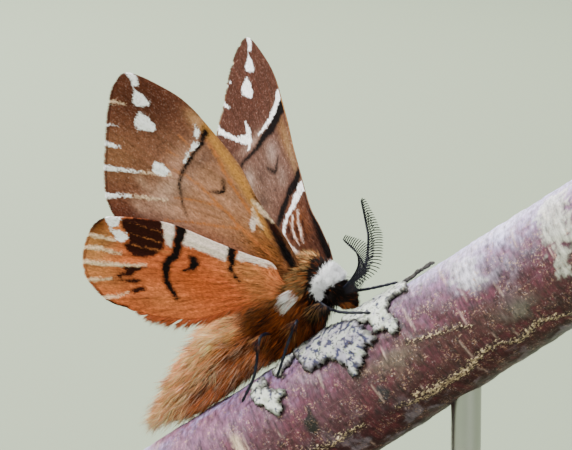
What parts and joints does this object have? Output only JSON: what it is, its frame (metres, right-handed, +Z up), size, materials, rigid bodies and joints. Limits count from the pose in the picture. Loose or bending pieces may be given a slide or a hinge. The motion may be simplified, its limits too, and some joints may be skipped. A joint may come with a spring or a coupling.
{
  "type": "kentish glory moth",
  "caption": "Life-size still model of a male Kentish glory moth with raised wings and comb antennae, gripping a cut length of birch twig on a small display stand.",
  "frame": {"origin": "centre of the underside of the stand's base", "axes": "+Z up; +X towards the moth's head and the twig's high end, along the base's long side; +Y towards the moth's left"},
  "size_m": [0.068, 0.042, 0.0606],
  "materials": {
    "base_wood": "stained and satin varnished",
    "rod_steel": "brushed",
    "bark": "smooth birch bark with a waxy sheen",
    "rust_coat": "long soft hair",
    "white_coat": "short dense hair",
    "dark_coat": "short dense hair",
    "eye_shell": "glossy cornea",
    "comb_shell": "dark chitin with a blue sheen",
    "leg_shell": "dark chitin with a blue sheen",
    "brown_scales": "wing scales",
    "orange_scales": "wing scales"
  },
  "bodies": {
    "root": {"stand_base": "base_wood", "stand_rod_front": "rod_steel", "stand_rod_rear": "rod_steel", "perch_branch": "bark", "head": "dark_coat", "eye_left": "eye_shell", "eye_right": "eye_shell", "antenna_left": "comb_shell", "antenna_right": "comb_shell", "collar": "white_coat", "thorax": "rust_coat", "abdomen": "rust_coat", "forewing_left": "brown_scales", "forewing_right": "brown_scales", "hindwing_left": "orange_scales", "hindwing_right": "orange_scales", "foreleg_left": "leg_shell", "foreleg_right": "leg_shell", "midleg_left": "leg_shell", "midleg_right": "leg_shell", "hindleg_left": "leg_shell", "hindleg_right": "leg_shell"}
  },
  "joints": []
}
